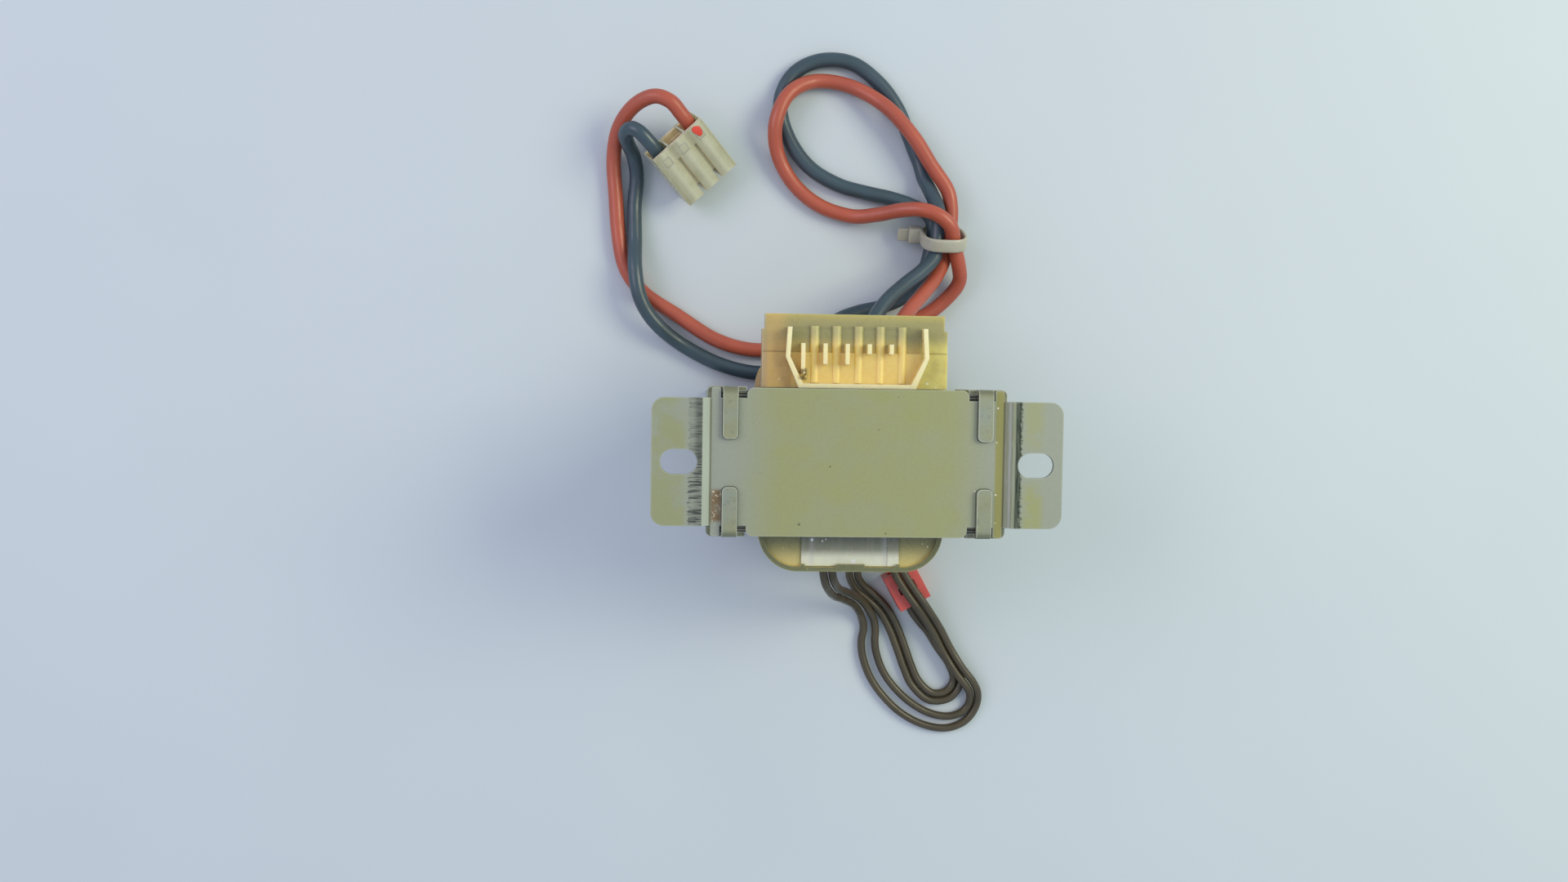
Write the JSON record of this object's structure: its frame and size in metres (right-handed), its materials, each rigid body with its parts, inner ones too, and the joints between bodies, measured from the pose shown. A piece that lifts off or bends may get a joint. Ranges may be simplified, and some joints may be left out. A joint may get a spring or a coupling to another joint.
{
  "type": "chassis mount transformer",
  "caption": "Laminated core mains transformer in a folded channel bracket with slotted feet, a moulded bobbin with a terminal block, and flying leads ending in connectors.",
  "frame": {"origin": "centre of the outer face of the channel bracket's back, which the part stands on", "axes": "+X runs from foot to foot, +Y points to the terminal block, and +Z points from the back of the bracket to the mounting feet"},
  "size_m": [0.0785, 0.1324, 0.043],
  "materials": {
    "zinc_plated_steel": "satin",
    "core_steel": "satin",
    "bobbin_nylon": "satin",
    "enamelled_copper": "gloss",
    "polyester_tape": "gloss",
    "polyester_film": "satin",
    "red_sleeve": "satin",
    "blue_sleeve": "satin",
    "brown_sleeve": "satin",
    "natural_nylon": "satin",
    "red_nylon": "satin",
    "tinned_brass": "satin"
  },
  "bodies": {
    "root": {"channel_bracket": "zinc_plated_steel", "mounting_plate": "zinc_plated_steel", "e_laminations_upright": "core_steel", "e_laminations_inverted": "core_steel", "i_laminations_top": "core_steel", "i_laminations_bottom": "core_steel", "bobbin": "bobbin_nylon", "primary_winding": "enamelled_copper", "secondary_winding": "enamelled_copper", "primary_tape": "polyester_tape", "secondary_tape": "polyester_tape", "insulation_film": "polyester_film", "red_lead": "red_sleeve", "blue_lead": "blue_sleeve", "cable_tie": "natural_nylon", "plug_housing": "natural_nylon", "plug_contacts": "tinned_brass", "brown_lead_outer": "brown_sleeve", "brown_lead_inner": "brown_sleeve", "socket_housing": "red_nylon", "socket_contacts": "tinned_brass"}
  },
  "joints": []
}
